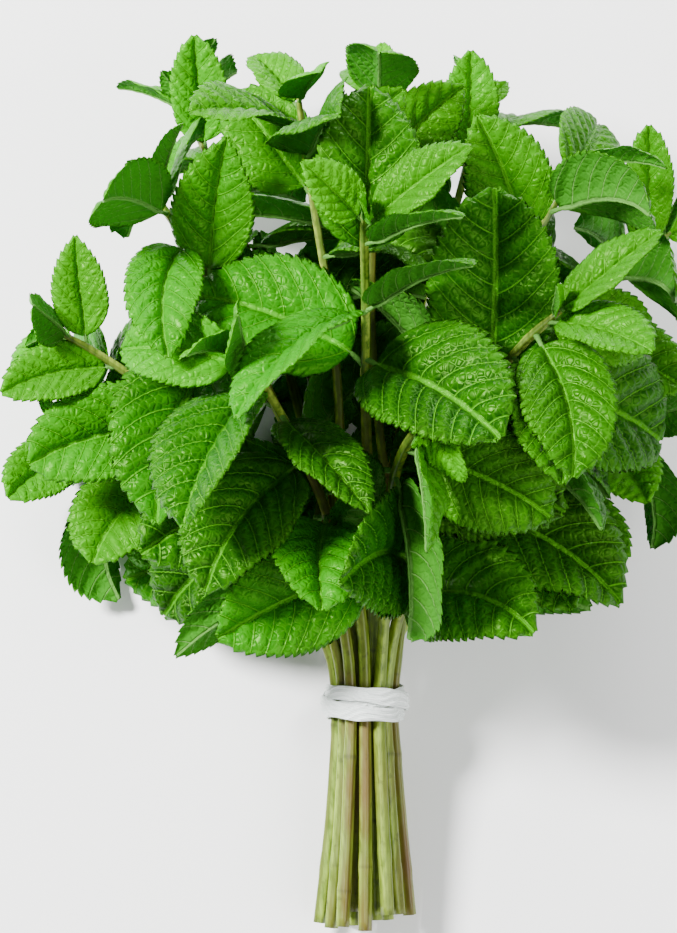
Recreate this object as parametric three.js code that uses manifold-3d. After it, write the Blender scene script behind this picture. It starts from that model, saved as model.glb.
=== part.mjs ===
// A bunch of fresh mint: leafy sprigs tied round their bare stems with a white band, lying on a surface.
//
// The bunch is laid out in its growing frame, in millimetres: y runs from the cut ends towards the tips,
// x across the bunch, and z out of the side that ends up on top. lay() then leans the bunch back on the
// surface it rests on, which presses the lowest leaves flat. The origin is the middle of the footprint.
//
// Each sprig is a square stem, a crown (the growing tip with its six leaf pairs) and one or more leaf
// pairs further down, each joined by the collar that its two stalks make round the stem. Some leaves have
// a set place; the others turn until they find room, and a leaf that finds none is left out.

import * as THREE from "three";
import { mergeVertices } from "three/addons/utils/BufferGeometryUtils.js";
import Module from "manifold-3d";

const wasm = await Module();
wasm.setup();

// ---------------------------------------------------------------- driving dimensions (mm, degrees)

const TIE_AT = 54; // middle of the tie, from the cut ends
const LEAN = 15; // the bunch's axis above the surface
const FOOT_LIFT = 6.9; // height of the bunch's axis at the cut ends
const PRESS_DEPTH = 13; // how far above the surface the leaves start to be pressed flat
const PRESSED = 0.5; // the least height of a pressed leaf's middle

const STEM_SPACING = 3.5; // between stem axes under the tie
const STEM_HALF = 1.52; // half the width of the square stem, at its foot
const STEM_CORNER = 1.72; // from the axis to the stem's bevelled corners
const STEM_TAPER = 0.62; // the stem's size at the crown, as a share of its size at the foot
const FOOT_SPREAD = 1.6; // the stems spread this much again from the tie to their cut ends
const TWIST = 24; // turn of the bundle from the tie to the crowns
const FAN_FROM = [0, 92, 0]; // the shoots point away from here at their tips
const STEM_STEP = 13; // the stems bend at stations this far apart
const THROAT = 88; // the bundle stays narrow up to here
const THROAT_WIDEN = 1.3; // how much wider the bundle is halfway to the throat than at the tie
const THROAT_DRIFT = 0.08; // and how far each shoot has moved there towards its shoulder
const SHOULDER = { share: 0.4, least: 18 }; // a shoot's straight end: this share of its rise, and this more
const UNEVEN = { rise: 2.2, turn: 2.4 }; // the ends are cut a little unevenly
const STEM_APART = 4.6; // between stem axes above the tie, measured across the bunch
const LEVEL = 6; // spacing of the levels at which the stems are kept apart
const LEVEL_ROUNDS = 150;
const TIE_LEVEL = 2; // the tie is at this level, counted from the cut ends
const EASE_LEVELS = 5; // the spacing grows from the tie's to the full one over these
const MOST_SLANT = 2;
const CURVE_STEPS = 400;
const LEVEL_PUSH = 0.25; // share of the missing room that one round makes
const TAPER_LENGTH = 190; // from the foot, the length over which the stem tapers
const BEVEL = 0.42; // half the angle of a stem's bevelled corner, seen from its axis

// The foliage stays in this rounded block, an ellipsoid with its power raised above 2.
const HEAD = { centre: [-4, 146, 0], radii: [90, 84, 68], power: 2.8 };

const BAND = { radius: 10.1, wide: 3.9, thick: 0.62, rise: 2.7, lap: 0.78, turns: 3, laps: 2, steps: 54 };

const LEAF_THICK = 0.7; // at the midrib; the leaf thins to nothing at its edge
const LEAF_FOLD = 16; // each half blade rises this much from the midrib
const STALK = 0.1; // the leaf stalk, as a share of the whole leaf
const STALK_WIDE = 2.0;
// Where the leaf's cross-sections stand, and how wide each is, as shares of length and of full width.
const STATIONS = [
  { at: STALK, wide: 0 },
  { at: 0.32, wide: 0.88 },
  { at: 0.58, wide: 0.96 },
  { at: 0.83, wide: 0.52 },
];
const WIDTH_OF_LENGTH = 0.63;
const TURN_OUT = 0.75; // how far a leaf twists to lay its upper face out of the bunch
const SAG_OF_DROOP = 0.04; // how much longer than its chord a leaf is, for one radian of droop

const GAP = 0.32; // between bodies that touch
const COLLAR_WALL = 1.0;
const COLLAR_HALF = [0.9, 0.7]; // half the collar's height, at its inner and outer face
const CORE_RADII = [1.1, 0.8]; // of a crown's core, at its foot and tip
const CORE_ENDS = { low: 2, high: 3, last: 1.2 }; // stations of the core keep this clear of its ends

const LEAF_GAP = 1.3; // leaves stay this far apart, measured between samples of their surfaces
const SAMPLE = 2.1; // spacing of those samples
const NEAR_STEM = 9; // leaves of one sprig may come closer than the gap this near their stem
const TRIES = 160;
const SWING = { turn: 42, rise: 36, droop: 44, roll: 50 }; // how far a leaf swings to find room
const CALM = 0.15; // share of the swing at the first try
const SHRINK = { from: 0.4, by: 0.35 }; // from this share of the tries on, leaves shrink as well
const ROLL = 24; // a leaf twists up to this much along its length
const BEND_POWER = 1.3; // a leaf droops more towards its tip
const MEAN_DROOP = 1 / (BEND_POWER + 1); // the chord's share of the droop
const MIDRIB_STEPS = 24;
const OUTLINE = { base: 0.78, full: 0.75 }; // the leaf's outline, between its cross-sections

// Leaf pairs of a crown: distance up the shoot, leaf length, angle above the level, and droop.
const CROWN_PAIRS = [
  { up: 2, length: 50, rise: 8, droop: 50 },
  { up: 16, length: 50, rise: 14, droop: 48 },
  { up: 27, length: 43, rise: 24, droop: 42 },
  { up: 35, length: 33, rise: 38, droop: 36 },
  { up: 40.5, length: 21, rise: 52, droop: 26 },
  { up: 42, length: 11, rise: 66, droop: 12 },
];
const CROWN_CORE = 44;
const CORE_ROOT = 0.2; // a crown's leaves grow from this far off the core's axis
const PAIR_LEAF = 52; // a full-grown leaf further down the stem
const PAIR_RISE = 12;
const PAIR_DROOP = 52;
// Further down, a pair's leaves turn out of the bunch: these are their azimuths from straight out, for
// every other pair of a stem.
const PAIR_SPLAYS = [[-12, 96], [-58, 58]];
const SLIDES = [0, 3, -3, 6, -6, 9, -9]; // a pair slides along its stem to find room for its collar

// The sprigs. tip is the growing tip, turn is the azimuth of the crown's lowest leaf pair, size scales the
// crown's leaves, and pairs gives the distance of each pair further down from the tip.
const SPRIGS = [
  { tip: [0, 173, 54], turn: 20, size: 1.0, pairs: [58, 72, 88] },
  { tip: [46, 150, 44], turn: 70, size: 1.0, pairs: [62, 78] },
  { tip: [-33, 143, 45], turn: 110, size: 1.0, pairs: [58, 72] },
  { tip: [14, 124, 52], turn: 20, size: 0.95, pairs: [54, 66] },
  { tip: [54, 190, 20], turn: 30, size: 1.0, pairs: [66, 92] },
  { tip: [-17, 204, 26], turn: 60, size: 0.95, pairs: [66, 100] },
  { tip: [-53, 182, 22], turn: 20, size: 1.0, pairs: [64, 90] },
  { tip: [-76, 147, 8], turn: 75, size: 0.95, pairs: [62, 82] },
  { tip: [76, 172, -2], turn: 60, size: 0.95, pairs: [64, 90] },
  { tip: [4, 212, 6], turn: 0, size: 0.9, pairs: [70, 104] },
  { tip: [30, 205, -10], turn: 45, size: 0.95, pairs: [68] },
  { tip: [-46, 206, -12], turn: 30, size: 0.95, pairs: [68] },
  { tip: [-77, 120, -14], turn: 30, size: 0.95, pairs: [60] },
  { tip: [72, 126, -12], turn: 60, size: 0.95, pairs: [60, 76] },
  { tip: [-24, 165, -30], turn: 10, size: 1.0, pairs: [64, 84] },
  { tip: [33, 158, -26], turn: 60, size: 1.0, pairs: [64] },
];

// Leaves with a place of their own, which grow before the others: on which sprig; on which pair, 0 to 5 up
// the crown or a, b and c down the stem; where the tip reaches; which way the upper face looks halfway; the
// width; and the droop.
const SET_LEAVES = [
  { sprig: 1, pair: 2, tip: [3, 204, 50], face: [0, -0.2, 1], width: 27, droop: 15 },
  { sprig: 1, pair: 4, tip: [-15, 185, 62], face: [0.3, 0.2, 1], width: 13, droop: 10 },
  { sprig: 1, pair: 4, tip: [26, 187, 62], face: [-0.3, 0.4, 1], width: 15, droop: 15 },
  { sprig: 1, pair: 3, tip: [24, 171, 72], face: [0.2, 1, 0.3], width: 15, droop: 25 },
  { sprig: 1, pair: 1, tip: [-32, 124, 60], face: [-0.6, 0.6, 0.7], width: 20, droop: 65 },
  { sprig: 1, pair: 1, tip: [26, 156, 66], face: [0, 1, 0.2], width: 18, droop: 30 },
  { sprig: 1, pair: 0, tip: [28, 115, 60], face: [0.1, 0.3, 1], width: 33, droop: 35 },
  { sprig: 3, pair: 1, tip: [3, 101, 55], face: [0.5, 0.3, 0.9], width: 19, droop: 35 },
  { sprig: 7, pair: 0, tip: [-51, 101, 36], face: [-0.2, 0.1, 1], width: 30, droop: 50 },
  { sprig: 7, pair: 2, tip: [-49, 140, 46], face: [0, 0.3, 1], width: 20, droop: 60 },
  { sprig: 2, pair: 1, tip: [28, 180, 40], face: [-0.1, -0.2, 1], width: 33, droop: 10 },
  { sprig: 2, pair: 4, tip: [69, 169, 54], face: [-0.5, 0.6, 0.7], width: 14, droop: 10 },
  { sprig: 2, pair: 3, tip: [46, 110, 58], face: [0, 0.2, 1], width: 25, droop: 50 },
  { sprig: 2, pair: 4, tip: [68, 138, 58], face: [0.2, 0.5, 0.8], width: 15, droop: 25 },
  { sprig: 14, pair: 2, tip: [68, 102, 4], face: [0.1, 0.2, 1], width: 19, droop: 35 },
  { sprig: 14, pair: 0, tip: [63, 85, 10], face: [0, 0.5, 1], width: 19, droop: 40 },
  { sprig: 14, pair: "a", tip: [51, 76, 12], face: [0.1, 0.5, 1], width: 22, droop: 40 },
  { sprig: 1, pair: "c", tip: [24, 88, 44], face: [0.1, 0.4, 1], width: 23, droop: 35 },
  { sprig: 3, pair: "b", tip: [-46, 66, 22], face: [0, 0.6, -0.8], width: 19, droop: 25 },
  { sprig: 3, pair: "a", tip: [-13, 77, 44], face: [0, 0.4, 1], width: 24, droop: 50 },
  { sprig: 3, pair: 0, tip: [-38, 84, 42], face: [-0.2, 0.3, 1], width: 27, droop: 50 },
  { sprig: 13, pair: 3, tip: [-88, 103, 2], face: [-0.1, 0.1, 1], width: 17, droop: 35 },
  { sprig: 13, pair: 1, tip: [-68, 90, 2], face: [-0.1, 0.4, 1], width: 22, droop: 40 },
  { sprig: 10, pair: 2, tip: [1, 225, 11], face: [0, -0.2, 1], width: 14, droop: 10 },
  { sprig: 6, pair: 3, tip: [-18, 219, 32], face: [0.1, -0.1, 1], width: 13, droop: 10 },
  { sprig: 12, pair: 2, tip: [-44, 221, -4], face: [0.1, -0.1, 1], width: 14, droop: 10 },
  { sprig: 12, pair: 3, tip: [-58, 200, -6], face: [0, 0.1, 1], width: 12, droop: 20 },
  { sprig: 11, pair: 2, tip: [25, 217, -3], face: [0, -0.1, 1], width: 14, droop: 10 },
  { sprig: 11, pair: 4, tip: [42, 212, -6], face: [0, -0.1, 1], width: 11, droop: 10 },
  { sprig: 5, pair: 2, tip: [54, 219, 14], face: [-0.1, -0.1, 1], width: 18, droop: 12 },
  { sprig: 5, pair: 3, tip: [51, 207, 32], face: [0, 0, 1], width: 16, droop: 12 },
  { sprig: 9, pair: 3, tip: [68, 198, 4], face: [-0.1, 0, 1], width: 13, droop: 15 },
  { sprig: 8, pair: 3, tip: [-70, 170, 12], face: [0, 0, 1], width: 15, droop: 15 },
  { sprig: 8, pair: 4, tip: [-90, 156, 8], face: [-0.1, 0, 1], width: 14, droop: 15 },
  { sprig: 8, pair: 2, tip: [-90, 134, 16], face: [-0.1, 0.3, 1], width: 16, droop: 30 },
  { sprig: 7, pair: 4, tip: [-61, 196, 20], face: [-0.1, 0, 1], width: 12, droop: 15 },
  { sprig: 6, pair: 1, tip: [-33, 205, 14], face: [-0.1, 0, 1], width: 23, droop: 20 },
  { sprig: 6, pair: 1, tip: [8, 206, 26], face: [0.1, 0, 1], width: 22, droop: 20 },
  { sprig: 6, pair: 0, tip: [-36, 186, 20], face: [-0.1, 0.1, 1], width: 24, droop: 30 },
  { sprig: 10, pair: 1, tip: [-16, 214, 4], face: [0, 0, 1], width: 19, droop: 15 },
  { sprig: 10, pair: 1, tip: [22, 210, 6], face: [0.1, 0, 1], width: 20, droop: 20 },
  { sprig: 5, pair: 1, tip: [24, 198, 18], face: [0, 0, 1], width: 22, droop: 20 },
  { sprig: 5, pair: 0, tip: [68, 182, 14], face: [0.1, 0.1, 1], width: 24, droop: 30 },
  { sprig: 12, pair: 1, tip: [-62, 206, -10], face: [-0.1, 0, 1], width: 17, droop: 20 },
  { sprig: 7, pair: 1, tip: [-70, 182, 14], face: [-0.1, 0.1, 1], width: 21, droop: 25 },
  { sprig: 7, pair: 1, tip: [-32, 194, 30], face: [0, 0, 1], width: 21, droop: 20 },
  { sprig: 9, pair: 1, tip: [84, 178, 0], face: [0.1, 0, 1], width: 20, droop: 20 },
  { sprig: 9, pair: 0, tip: [82, 138, 2], face: [0.2, 0.2, 1], width: 22, droop: 30 },
  { sprig: 8, pair: 0, tip: [-84, 116, 10], face: [-0.1, 0.2, 1], width: 24, droop: 35 },
  { sprig: 8, pair: 1, tip: [-76, 150, 14], face: [-0.1, 0, 1], width: 18, droop: 25 },
];

// ---------------------------------------------------------------- small helpers

const rad = THREE.MathUtils.degToRad;
const vec = (x, y, z) => new THREE.Vector3(x, y, z);
const Y_AXIS = vec(0, 1, 0);

// The same stream of numbers from 0 to 1 in every run.
function stream(seed) {
  let state = seed >>> 0;
  return () => {
    state = (state + 0x6d2b79f5) >>> 0;
    let t = Math.imul(state ^ (state >>> 15), state | 1);
    t ^= t + Math.imul(t ^ (t >>> 7), t | 61);
    return ((t ^ (t >>> 14)) >>> 0) / 4294967296;
  };
}

// From the growing frame to the resting one: lean() for what stays stiff, and lay() for leaves, whose
// heights near the surface shrink smoothly and never reach it.
const TILT = new THREE.Matrix4().makeRotationX(rad(LEAN));
function lean(point) {
  const p = point.clone().applyMatrix4(TILT);
  p.z += FOOT_LIFT;
  return p;
}
function lay(point) {
  const p = lean(point);
  const room = PRESS_DEPTH - PRESSED;
  if (p.z < PRESS_DEPTH) p.z = PRESSED + room * Math.exp((p.z - PRESS_DEPTH) / room);
  return p;
}

// A closed body through rings of points, from a start point to an end point, or round a closed loop.
function loft(rings, start, end) {
  const sides = rings[0].length;
  const loop = start === undefined;
  const points = rings.flat();
  const faces = [];
  for (let i = 0; i < rings.length - (loop ? 0 : 1); i++) {
    for (let j = 0; j < sides; j++) {
      const next = ((i + 1) % rings.length) * sides;
      const k = (j + 1) % sides;
      const [a, b, c, d] = [i * sides + j, i * sides + k, next + k, next + j];
      // The diagonals alternate, so that a leaf's upper and lower faces stay parallel where it twists.
      faces.push(...(j % 2 ? [a, b, d, b, c, d] : [a, b, c, a, c, d]));
    }
  }
  if (!loop) {
    const last = (rings.length - 1) * sides;
    for (let j = 0; j < sides; j++) {
      const k = (j + 1) % sides;
      faces.push(points.length, k, j, points.length + 1, last + j, last + k);
    }
    points.push(start, end);
  }
  let volume = 0;
  for (let i = 0; i < faces.length; i += 3) {
    const [a, b, c] = faces.slice(i, i + 3).map((n) => points[n]);
    volume += a.dot(b.clone().cross(c));
  }
  if (volume < 0) faces.reverse(); // so that the faces point out whichever way the rings run
  return new THREE.BufferGeometry().setFromPoints(points).setIndex(faces);
}

function solidOf(geometry) {
  const merged = mergeVertices(geometry, 1e-4);
  return new wasm.Manifold(
    new wasm.Mesh({
      numProp: 3,
      vertProperties: new Float32Array(merged.attributes.position.array),
      triVerts: new Uint32Array(merged.index.array),
    }),
  );
}

function geometryOf(solid) {
  const mesh = solid.getMesh();
  return new THREE.BufferGeometry()
    .setAttribute("position", new THREE.BufferAttribute(new Float32Array(mesh.vertProperties), 3))
    .setIndex(new THREE.BufferAttribute(new Uint32Array(mesh.triVerts), 1));
}

// ---------------------------------------------------------------- room between the leaves

// What is already there: a grid of surface samples, which tells how much room a leaf has, and the solids
// themselves, which tell that it cuts into none of another node's.
class Room {
  constructor() {
    this.cells = new Map();
    this.solids = [];
  }
  admit(solid, node) {
    const { min, max } = solid.boundingBox();
    this.solids.push({ solid, node, box: new THREE.Box3(vec(...min), vec(...max)) });
  }
  admits(solid, node) {
    const { min, max } = solid.boundingBox();
    const box = new THREE.Box3(vec(...min), vec(...max));
    const others = this.solids.filter((o) => o.node !== node && o.box.intersectsBox(box));
    return others.every((o) => o.solid.intersect(solid).isEmpty());
  }
  key(x, y, z) {
    return (x * 4096 + y) * 4096 + z;
  }
  fill(samples, sprig) {
    for (const s of samples) {
      const key = this.key(...s.point.map((c) => Math.floor(c / LEAF_GAP) + 1024));
      if (!this.cells.has(key)) this.cells.set(key, []);
      this.cells.get(key).push({ ...s, sprig });
    }
  }
  isFree(samples, sprig) {
    for (const s of samples) {
      const [x, y, z] = s.point.map((c) => Math.floor(c / LEAF_GAP) + 1024);
      for (let i = x - 1; i <= x + 1; i++)
        for (let j = y - 1; j <= y + 1; j++)
          for (let k = z - 1; k <= z + 1; k++)
            for (const o of this.cells.get(this.key(i, j, k)) || []) {
              if (o.sprig === sprig && (o.near || s.near)) continue;
              const apart = Math.hypot(...o.point.map((c, n) => c - s.point[n]));
              if (apart < LEAF_GAP) return false;
            }
    }
    return true;
  }
}

// ---------------------------------------------------------------- stems

// Places for the stems under the tie: a close-packed hexagon without three of its lower places.
function tieSlots() {
  const slots = [];
  for (let row = -2; row <= 2; row++) {
    const count = 5 - Math.abs(row);
    for (let i = 0; i < count; i++) {
      const x = (i - (count - 1) / 2) * STEM_SPACING;
      slots.push([x, (row * STEM_SPACING * Math.sqrt(3)) / 2]);
    }
  }
  return slots.slice(3);
}

// A shoot is the stem up to the crown and the crown's core after that, straight between its stations.
class Shoot {
  constructor(points) {
    const curve = new THREE.CatmullRomCurve3(points);
    this.length = curve.getLength();
    this.crownAt = this.length - CROWN_CORE;
    this.places = curve.getSpacedPoints(Math.round(this.length / STEM_STEP));
    this.step = this.length / (this.places.length - 1);
  }
  frame(distance) {
    const i = THREE.MathUtils.clamp(Math.floor(distance / this.step), 0, this.places.length - 2);
    const [a, b] = [this.places[i], this.places[i + 1]];
    return { at: a.clone().lerp(b, distance / this.step - i), tangent: b.clone().sub(a).normalize() };
  }
  // The same, with a tangent halfway between the pieces that meet at a station.
  bend(distance) {
    const [below, above] = [-0.1, 0.1].map((d) => this.frame(distance + d).tangent);
    return { at: this.frame(distance).at, tangent: below.add(above).normalize() };
  }
}

// A curve's points at the foot, at the tie and at even levels above it.
function levelPoints(curve) {
  const fine = curve.getSpacedPoints(CURVE_STEPS);
  const top = fine.at(-1).y;
  const levels = [0, TIE_AT / 2, TIE_AT];
  while (levels.at(-1) < top - 1.5 * LEVEL) levels.push(levels.at(-1) + LEVEL);
  const points = levels.map((level) => fine.find((p) => p.y >= level).clone());
  points[0] = fine[0].clone();
  return [...points, fine.at(-1).clone()];
}

// How much longer than its rise a path is at a level.
function slant(path, k) {
  return Math.min(MOST_SLANT, path[k].distanceTo(path[k - 1]) / (path[k].y - path[k - 1].y));
}

// Pushes stems apart, level by level above the tie, until each has room of its own.
function keepApart(paths) {
  for (let round = 0; round < LEVEL_ROUNDS; round++)
    for (let i = 0; i < paths.length; i++)
      for (let j = i + 1; j < paths.length; j++)
        for (let k = TIE_LEVEL + 1; k < Math.min(paths[i].length, paths[j].length); k++) {
          const [a, b] = [paths[i][k], paths[j][k]];
          const away = vec(a.x - b.x, 0, a.z - b.z);
          const eased = Math.min(1, (k - TIE_LEVEL) / EASE_LEVELS);
          const spacing = THREE.MathUtils.lerp(STEM_SPACING, STEM_APART, eased);
          const wanted = spacing * Math.max(slant(paths[i], k), slant(paths[j], k));
          const push = LEVEL_PUSH * (wanted - away.length());
          if (push <= 0) continue;
          away.setLength(push);
          a.add(away);
          b.sub(away);
        }
}

// Gives each sprig the free slot that lies most nearly under it, the outermost sprigs first.
function growShoots() {
  const free = tieSlots();
  const order = SPRIGS.map((sprig, index) => {
    const tip = vec(...sprig.tip);
    const outward = tip.clone().sub(vec(...FAN_FROM)).normalize();
    const straight = SHOULDER.share * (tip.y - THROAT) + SHOULDER.least;
    const shoulder = tip.clone().addScaledVector(outward, -straight);
    return { index, tip, shoulder, reach: Math.hypot(tip.x, tip.z) };
  }).sort((a, b) => b.reach - a.reach);
  const widest = order[0].reach;
  const paths = [];
  for (const { index, shoulder, tip } of order) {
    const turned = tip.clone().applyAxisAngle(Y_AXIS, rad(TWIST));
    const [wantX, wantZ] = [turned.x, turned.z].map((c) => (c / widest) * 2 * STEM_SPACING);
    const away = ([x, z]) => Math.hypot(x - wantX, z - wantZ);
    free.sort((a, b) => away(a) - away(b));
    const [x, z] = free.shift();
    const foot = vec(x * FOOT_SPREAD, 0, z * FOOT_SPREAD);
    foot.y = UNEVEN.rise * Math.sin(index * UNEVEN.turn);
    const neck = vec(x, TIE_AT, z);
    const throat = vec(THROAT_WIDEN * x, 0.5 * (TIE_AT + THROAT), THROAT_WIDEN * z);
    throat.lerp(shoulder, THROAT_DRIFT);
    paths[index] = levelPoints(new THREE.CatmullRomCurve3([foot, neck, throat, shoulder, tip]));
  }
  keepApart(paths);
  return paths.map((points) => new Shoot(points));
}

// The stem's size at a distance from its foot.
const stemScale = (distance) => THREE.MathUtils.lerp(1, STEM_TAPER, distance / TAPER_LENGTH);

// Two directions square to a tangent, steady from one tangent to the next along a sprig.
function across(tangent) {
  const side = vec(1, 0, 0).addScaledVector(tangent, -tangent.x).normalize();
  return [side, tangent.clone().cross(side).negate()];
}

// The bevelled square section of a mint stem: corners and flats alternate.
function stemRing(shoot, distance) {
  const { at, tangent } = shoot.bend(distance);
  const [u, v] = across(tangent);
  const scale = stemScale(distance);
  const ring = [];
  for (let quarter = 0; quarter < 4; quarter++)
    for (const bevel of [-BEVEL, BEVEL]) {
      const angle = (quarter * Math.PI) / 2 + Math.PI / 4 + bevel;
      const size = STEM_CORNER * scale;
      const x = THREE.MathUtils.clamp(size * Math.cos(angle), -STEM_HALF * scale, STEM_HALF * scale);
      const y = THREE.MathUtils.clamp(size * Math.sin(angle), -STEM_HALF * scale, STEM_HALF * scale);
      ring.push(lean(at.clone().addScaledVector(u, x).addScaledVector(v, y)));
    }
  return ring;
}

function stemGeometry(shoot) {
  const rings = [];
  for (let d = 0; d < shoot.crownAt - 2; d += shoot.step) rings.push(stemRing(shoot, d));
  rings.push(stemRing(shoot, shoot.crownAt));
  return loft(rings, lean(shoot.frame(0).at), lean(shoot.frame(shoot.crownAt).at));
}

function stemSamples(shoot) {
  const samples = [];
  for (let distance = 0; distance < shoot.length; distance += SAMPLE)
    for (const p of stemRing(shoot, distance)) samples.push({ point: p.toArray(), near: true });
  return samples;
}

// ---------------------------------------------------------------- leaves

// A leaf's midrib, bending from its rise down by its droop, with the side and upper directions.
function leafFrames(leaf, shares) {
  const { at, root, tangent, turn, length, rise, droop, twist, roll } = leaf;
  const [u, v] = across(tangent);
  const out = u.clone().multiplyScalar(Math.cos(rad(turn))).addScaledVector(v, Math.sin(rad(turn)));
  const steps = MIDRIB_STEPS;
  const frames = [];
  const place = at.clone().addScaledVector(out, root);
  let done = 0;
  for (const share of shares) {
    const target = Math.round(share * steps);
    for (; done < target; done++) {
      const bend = rad(rise - droop * Math.pow((done + 0.5) / steps, BEND_POWER));
      place.addScaledVector(out, (Math.cos(bend) * length) / steps);
      place.addScaledVector(tangent, (Math.sin(bend) * length) / steps);
    }
    const bend = rad(rise - droop * Math.pow(share, BEND_POWER));
    const along = out.clone().multiplyScalar(Math.cos(bend)).addScaledVector(tangent, Math.sin(bend));
    const top = out.clone().multiplyScalar(-Math.sin(bend)).addScaledVector(tangent, Math.cos(bend));
    const side = along.clone().cross(top);
    top.applyAxisAngle(along, rad(twist + roll * share));
    side.applyAxisAngle(along, rad(twist + roll * share));
    frames.push({ place: place.clone(), along, top, side });
  }
  return frames;
}

// The leaf's half width at a share of its length, for the samples between the stations.
function halfWidth(leaf, share) {
  const blade = Math.max(0, (share - STALK) / (1 - STALK));
  return 0.5 * leaf.width * Math.pow(Math.sin(Math.PI * Math.pow(blade, OUTLINE.base)), OUTLINE.full) || 0;
}

// A point of the blade, a signed distance out from the midrib, on its folded surface.
function bladePoint(frame, out, fold) {
  return frame.place
    .clone()
    .addScaledVector(frame.side, out * Math.cos(rad(fold)))
    .addScaledVector(frame.top, Math.abs(out) * Math.sin(rad(fold)));
}

function leafSamples(leaf) {
  const samples = [];
  const count = Math.ceil(leaf.length / SAMPLE);
  const shares = Array.from({ length: count + 1 }, (_, i) => i / count);
  leafFrames(leaf, shares).forEach((frame, i) => {
    const half = halfWidth(leaf, shares[i]);
    const steps = Math.ceil(half / SAMPLE);
    for (let j = -steps; j <= steps; j++) {
      const point = bladePoint(frame, steps ? (half * j) / steps : 0, leaf.fold);
      samples.push({
        point: lay(point).toArray(),
        grown: point,
        near: point.distanceTo(leaf.at) < NEAR_STEM,
      });
    }
  });
  return samples;
}

// A leaf is a thin closed body: four-cornered sections from the stalk's root to the leaf's tip.
function leafSolid(leaf) {
  const shares = [0, ...STATIONS.map((s) => s.at), 1];
  const frames = leafFrames(leaf, shares);
  const rings = STATIONS.map(({ wide }, i) => {
    const frame = frames[i + 1];
    const half = wide ? 0.5 * wide * leaf.width : 0.5 * STALK_WIDE;
    const thick = 0.5 * LEAF_THICK * (wide ? 1 : 1.5);
    const left = lay(bladePoint(frame, half, leaf.fold));
    const right = lay(bladePoint(frame, -half, leaf.fold));
    const middle = lay(frame.place);
    const along = lay(frame.place.clone().add(frame.along)).sub(middle);
    const top = right.clone().sub(left).cross(along).setLength(thick);
    return [left, middle.clone().add(top), right, middle.clone().sub(top)];
  });
  return solidOf(loft(rings, lay(frames[0].place), lay(frames.at(-1).place)));
}

// Whether all of a leaf stays in the head.
function inHead(samples) {
  return samples.every(({ grown }) => {
    const p = grown.toArray().map((c, n) => Math.abs(c - HEAD.centre[n]) / HEAD.radii[n]);
    return p.reduce((sum, c) => sum + Math.pow(c, HEAD.power), 0) < 1;
  });
}

// Turns, lifts and at last shortens a leaf until it is clear of its neighbours; null if it never is.
function settle(leaf, room, sprig, random) {
  for (let i = 0; i < TRIES; i++) {
    const unrest = i / TRIES;
    const swing = (most) => (2 * random() - 1) * most * (CALM + unrest);
    const shrink = 1 - SHRINK.by * Math.max(0, unrest - SHRINK.from);
    const tried = {
      ...leaf,
      turn: leaf.turn + swing(SWING.turn),
      rise: leaf.rise + swing(SWING.rise),
      droop: leaf.droop + swing(SWING.droop),
      roll: leaf.roll + swing(SWING.roll),
      length: leaf.length * shrink,
      width: leaf.width * shrink,
    };
    const samples = leafSamples(tried);
    if ((!leaf.set && !inHead(samples)) || !room.isFree(samples, sprig)) continue;
    const solid = leafSolid(tried);
    if (!room.admits(solid, leaf.node)) continue;
    room.fill(samples, sprig);
    room.admit(solid, leaf.node);
    return solid;
  }
  return null;
}

// ---------------------------------------------------------------- crowns, collars and the tie

// Points round a place on a shoot, at a radius from it.
function roundRing({ at, tangent }, radius, sides, up = 0) {
  const [u, v] = across(tangent);
  return Array.from({ length: sides }, (_, i) => {
    const angle = (2 * Math.PI * i) / sides;
    const [x, y] = [radius * Math.cos(angle), radius * Math.sin(angle)];
    return lean(at.clone().addScaledVector(tangent, up).addScaledVector(u, x).addScaledVector(v, y));
  });
}

function crownCore(shoot) {
  const stations = shoot.places.map((_, i) => i * shoot.step);
  const within = stations.filter(
    (d) => d > shoot.crownAt + CORE_ENDS.low && d < shoot.length - CORE_ENDS.high,
  );
  const distances = [shoot.crownAt + GAP, ...within, shoot.length - CORE_ENDS.last];
  const rings = distances.map((distance) => {
    const share = (distance - shoot.crownAt) / CROWN_CORE;
    return roundRing(shoot.bend(distance), THREE.MathUtils.lerp(...CORE_RADII, share), 6);
  });
  const [low, high] = [distances[0], shoot.length].map((distance) => lean(shoot.frame(distance).at));
  return solidOf(loft(rings, low, high));
}

// From the stem's axis to the middle of a collar's wall.
const collarRadius = (distance) => STEM_CORNER * stemScale(distance) + GAP + 0.5 * COLLAR_WALL;

// The ring that a pair's stalks make round the stem, clear of the stem by a small gap.
function collarSolid(shoot, distance) {
  const inner = collarRadius(distance) - 0.5 * COLLAR_WALL;
  const outer = inner + COLLAR_WALL;
  const [tall, low] = COLLAR_HALF;
  const corners = [[inner, -tall], [outer, -low], [outer, low], [inner, tall]];
  const loops = corners.map(([radius, up]) => roundRing(shoot.frame(distance), radius, 8, up));
  return solidOf(loft(loops[0].map((_, i) => loops.map((loop) => loop[i]))));
}

// One endless band wound three times round the stems, its strands crossing over each other.
function bandGeometry() {
  const rings = [];
  for (let i = 0; i < BAND.steps; i++) {
    const share = (2 * Math.PI * i) / BAND.steps;
    const angle = BAND.turns * share;
    const lap = BAND.laps * share;
    const radius = BAND.radius + BAND.lap * Math.cos(lap);
    const height = TIE_AT + BAND.rise * Math.sin(lap);
    const corners = [[-0.5, -0.5], [0.5, -0.5], [0.5, 0.5], [-0.5, 0.5]];
    rings.push(
      corners.map(([out, up]) => {
        const r = radius + out * BAND.thick;
        return lean(vec(r * Math.cos(angle), height + up * BAND.wide, r * Math.sin(angle)));
      }),
    );
  }
  return loft(rings);
}

// ---------------------------------------------------------------- the bunch

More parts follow.
